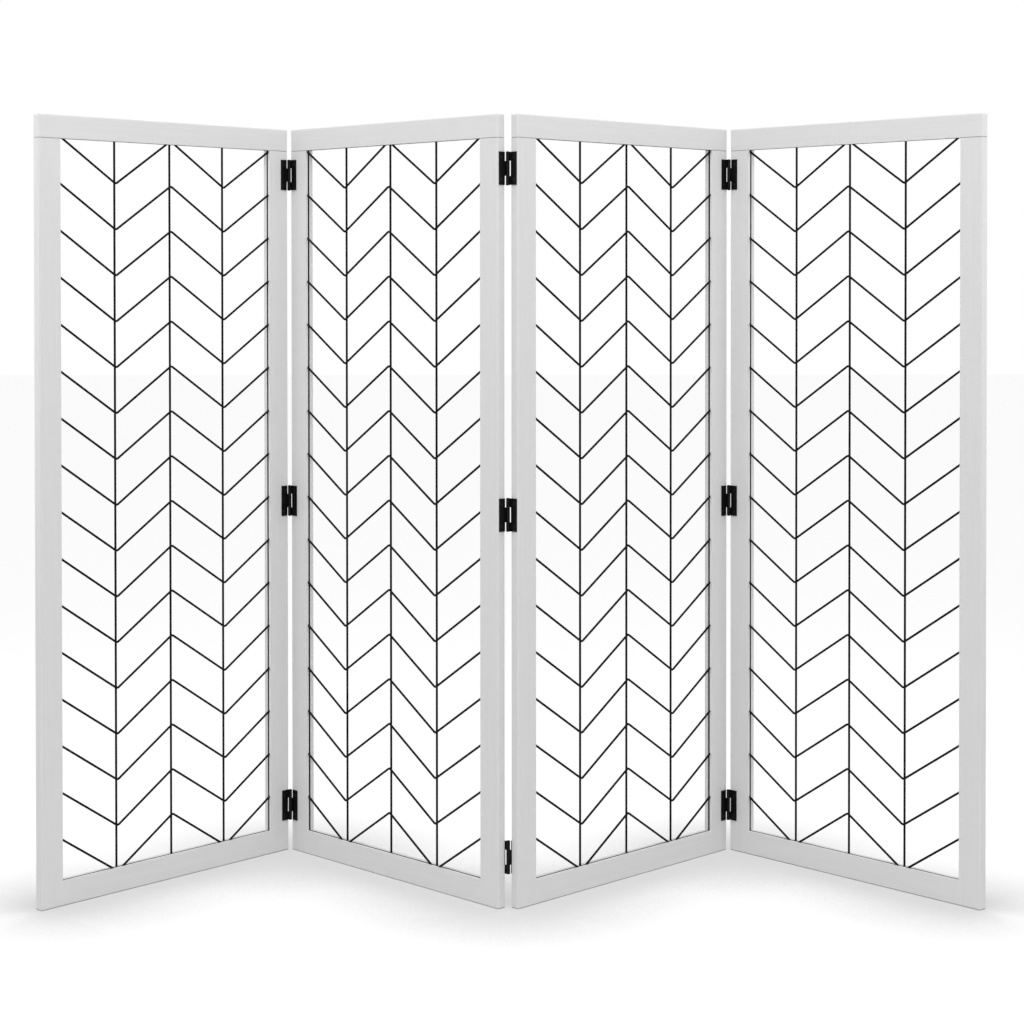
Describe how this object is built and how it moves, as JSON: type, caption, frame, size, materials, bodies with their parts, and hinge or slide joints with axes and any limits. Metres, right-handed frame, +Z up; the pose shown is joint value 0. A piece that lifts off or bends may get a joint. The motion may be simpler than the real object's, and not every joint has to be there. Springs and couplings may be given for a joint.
{
  "type": "freestanding pet gate",
  "caption": "Freestanding folding pet gate: framed wooden panels with a wire chevron grille, joined by butt hinges and standing in a zigzag.",
  "frame": {"origin": "bottom centre of the bounding box, with the gate standing in its zigzag", "axes": "+X along the gate to the right as seen from its front, +Y from the front to the back, +Z up"},
  "size_m": [1.4554, 0.3852, 1.2192],
  "materials": {
    "painted_wood": "satin paint",
    "black_wire": "satin powder coat",
    "black_hinge": "satin",
    "plain_wood": "raw"
  },
  "bodies": {
    "panel_1": {"panel_1_top_rail": "painted_wood", "panel_1_bottom_rail": "painted_wood", "panel_1_left_stile": "painted_wood", "panel_1_right_stile": "painted_wood", "panel_1_border_wire": "black_wire", "panel_1_upright_wires": "black_wire", "panel_1_chevron_wires": "black_wire", "panel_1_dowels": "plain_wood", "panel_1_hinge_screws": "black_hinge", "hinge_1_bottom_left_leaf": "black_hinge", "hinge_1_middle_left_leaf": "black_hinge", "hinge_1_top_left_leaf": "black_hinge"},
    "panel_2": {"panel_2_top_rail": "painted_wood", "panel_2_bottom_rail": "painted_wood", "panel_2_left_stile": "painted_wood", "panel_2_right_stile": "painted_wood", "panel_2_border_wire": "black_wire", "panel_2_upright_wires": "black_wire", "panel_2_chevron_wires": "black_wire", "panel_2_dowels": "plain_wood", "panel_2_hinge_screws": "black_hinge", "hinge_1_bottom_right_leaf": "black_hinge", "hinge_1_middle_right_leaf": "black_hinge", "hinge_1_top_right_leaf": "black_hinge", "hinge_2_bottom_left_leaf": "black_hinge", "hinge_2_middle_left_leaf": "black_hinge", "hinge_2_top_left_leaf": "black_hinge", "hinge_1_pins": "black_hinge", "hinge_2_pins": "black_hinge"},
    "panel_3": {"panel_3_top_rail": "painted_wood", "panel_3_bottom_rail": "painted_wood", "panel_3_left_stile": "painted_wood", "panel_3_right_stile": "painted_wood", "panel_3_border_wire": "black_wire", "panel_3_upright_wires": "black_wire", "panel_3_chevron_wires": "black_wire", "panel_3_dowels": "plain_wood", "panel_3_hinge_screws": "black_hinge", "hinge_2_bottom_right_leaf": "black_hinge", "hinge_2_middle_right_leaf": "black_hinge", "hinge_2_top_right_leaf": "black_hinge", "hinge_3_bottom_left_leaf": "black_hinge", "hinge_3_middle_left_leaf": "black_hinge", "hinge_3_top_left_leaf": "black_hinge", "hinge_3_pins": "black_hinge"},
    "panel_4": {"panel_4_top_rail": "painted_wood", "panel_4_bottom_rail": "painted_wood", "panel_4_left_stile": "painted_wood", "panel_4_right_stile": "painted_wood", "panel_4_border_wire": "black_wire", "panel_4_upright_wires": "black_wire", "panel_4_chevron_wires": "black_wire", "panel_4_dowels": "plain_wood", "panel_4_hinge_screws": "black_hinge", "hinge_3_bottom_right_leaf": "black_hinge", "hinge_3_middle_right_leaf": "black_hinge", "hinge_3_top_right_leaf": "black_hinge"}
  },
  "joints": [
    {"name": "hinge_1", "type": "hinge", "parent": "panel_2", "child": "panel_1", "pos_m": [-0.37334, 0.1816, 0.6096], "axis": [0, 0, 1], "range_deg": [-94.1, 85.9]},
    {"name": "hinge_2", "type": "hinge", "parent": "panel_2", "child": "panel_3", "pos_m": [-0.00407, -0.17399, 0.6096], "axis": [0, 0, 1], "range_deg": [-92, 88]},
    {"name": "hinge_3", "type": "hinge", "parent": "panel_3", "child": "panel_4", "pos_m": [0.36891, 0.17771, 0.6096], "axis": [0, 0, 1], "range_deg": [-87.2, 92.8]}
  ]
}
